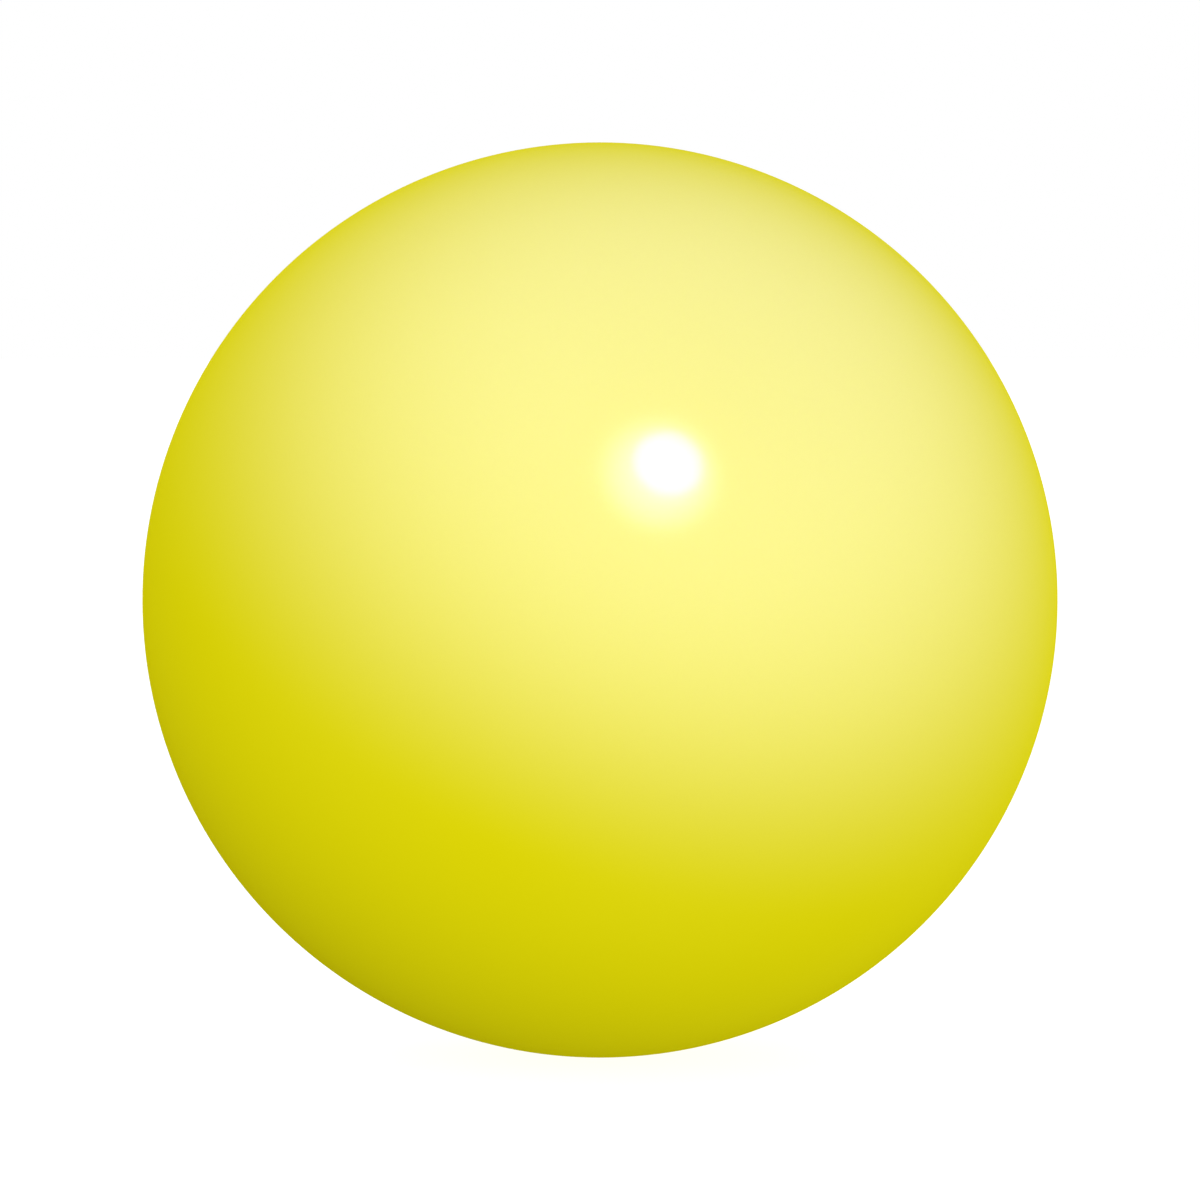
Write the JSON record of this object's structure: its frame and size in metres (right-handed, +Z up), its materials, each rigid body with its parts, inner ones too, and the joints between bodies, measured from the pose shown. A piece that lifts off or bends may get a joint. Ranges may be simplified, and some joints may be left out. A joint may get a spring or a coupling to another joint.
{
  "type": "rhythmic gymnastics ball",
  "caption": "Smooth glossy yellow inflated rubber ball for rhythmic gymnastics, with a needle valve at the back that a flush push-in plug closes.",
  "frame": {"origin": "centre of the inflated ball", "axes": "+Z up, +Y along the valve's axis towards its mouth, which is at the back of the ball as the picture shows it"},
  "size_m": [0.185, 0.185, 0.185],
  "materials": {
    "yellow_cover": "smooth moulded rubber with a clear glossy lacquer",
    "bladder_rubber": "matt natural rubber",
    "patch_rubber": "matt calendered rubber",
    "valve_rubber": "satin moulded rubber",
    "core_rubber": "soft satin rubber",
    "plug_plastic": "soft white moulded plastic",
    "weight_rubber": "matt filled rubber"
  },
  "bodies": {
    "ball": {"cover_front": "yellow_cover", "cover_back": "yellow_cover", "inner_bladder": "bladder_rubber", "valve_patch": "patch_rubber", "valve_housing": "valve_rubber", "valve_core": "core_rubber", "balance_patch": "weight_rubber"},
    "plug": {"valve_plug": "plug_plastic"}
  },
  "joints": [
    {"name": "plug_pull", "type": "slide", "parent": "ball", "child": "plug", "axis": [0, 1, 0], "range_m": [0, 0.05]}
  ]
}
